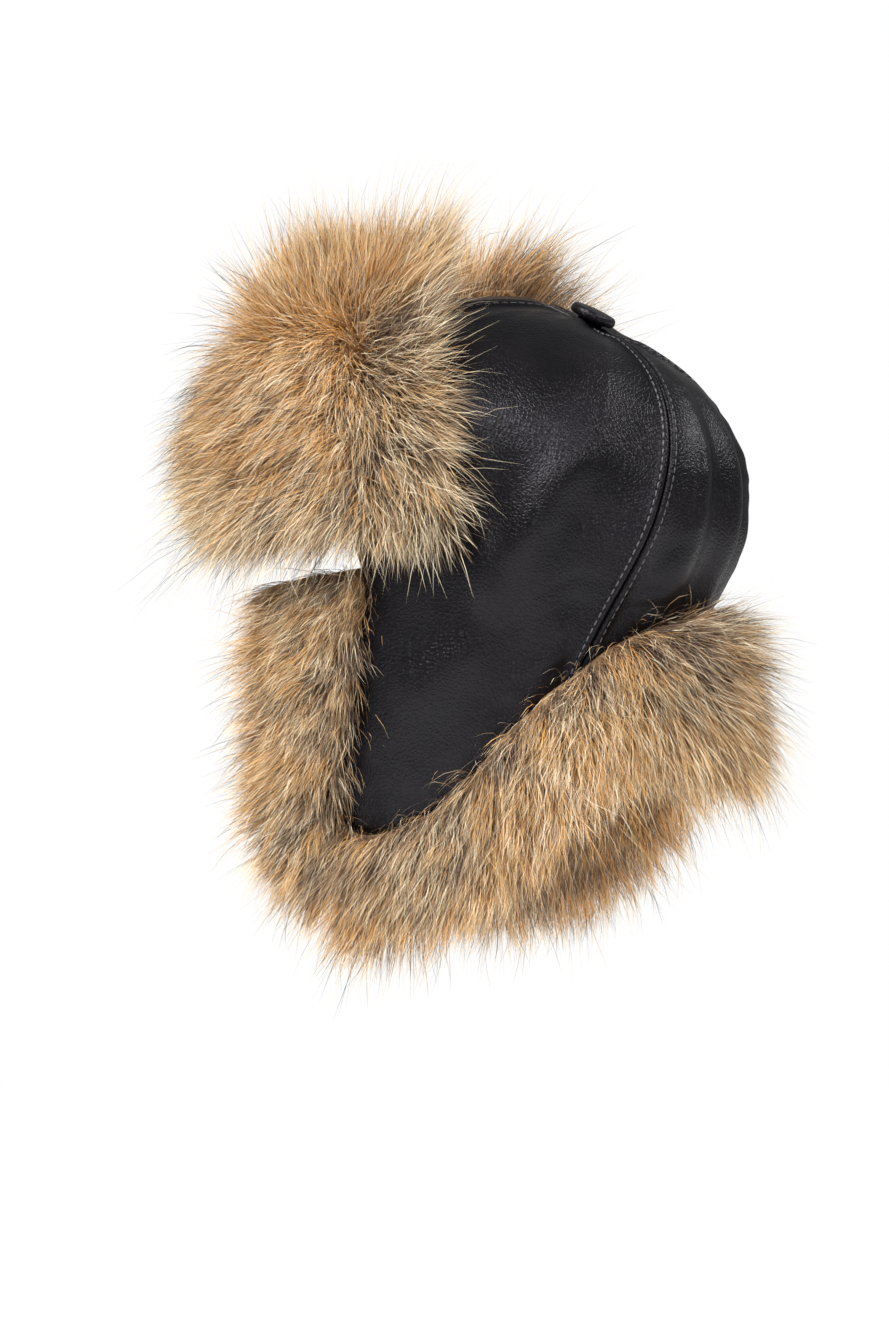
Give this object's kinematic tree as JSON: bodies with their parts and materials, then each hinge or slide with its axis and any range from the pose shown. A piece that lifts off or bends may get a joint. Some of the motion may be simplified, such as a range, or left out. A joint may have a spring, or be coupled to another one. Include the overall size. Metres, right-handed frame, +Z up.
{
  "type": "ushanka",
  "caption": "Black leather ushanka with ear flaps, raised seams on the back, a covered button on top, a turned-up fur visor and fur trim down the flaps and round the neck.",
  "frame": {"origin": "where the top of the head touches the inside of the crown, above the middle of the widest level", "axes": "+Z up as the hat is worn, -Y the way the face looks, +X the wearer's left"},
  "size_m": [0.2393, 0.2745, 0.3296],
  "materials": {
    "black_leather": "smooth black nappa with a fine grain and a soft gloss",
    "visor_fur": "long golden brown fur with dark streaks and black and cream tips",
    "trim_fur": "long tan and grey brown fur with dark roots and pale tips"
  },
  "bodies": {
    "root": {"crown_back": "black_leather", "crown_front": "black_leather", "crown_side_left": "black_leather", "crown_side_right": "black_leather", "crown_button": "black_leather", "visor_fur": "visor_fur", "ear_trim_left": "trim_fur", "ear_trim_right": "trim_fur", "neck_trim": "trim_fur"}
  },
  "joints": []
}
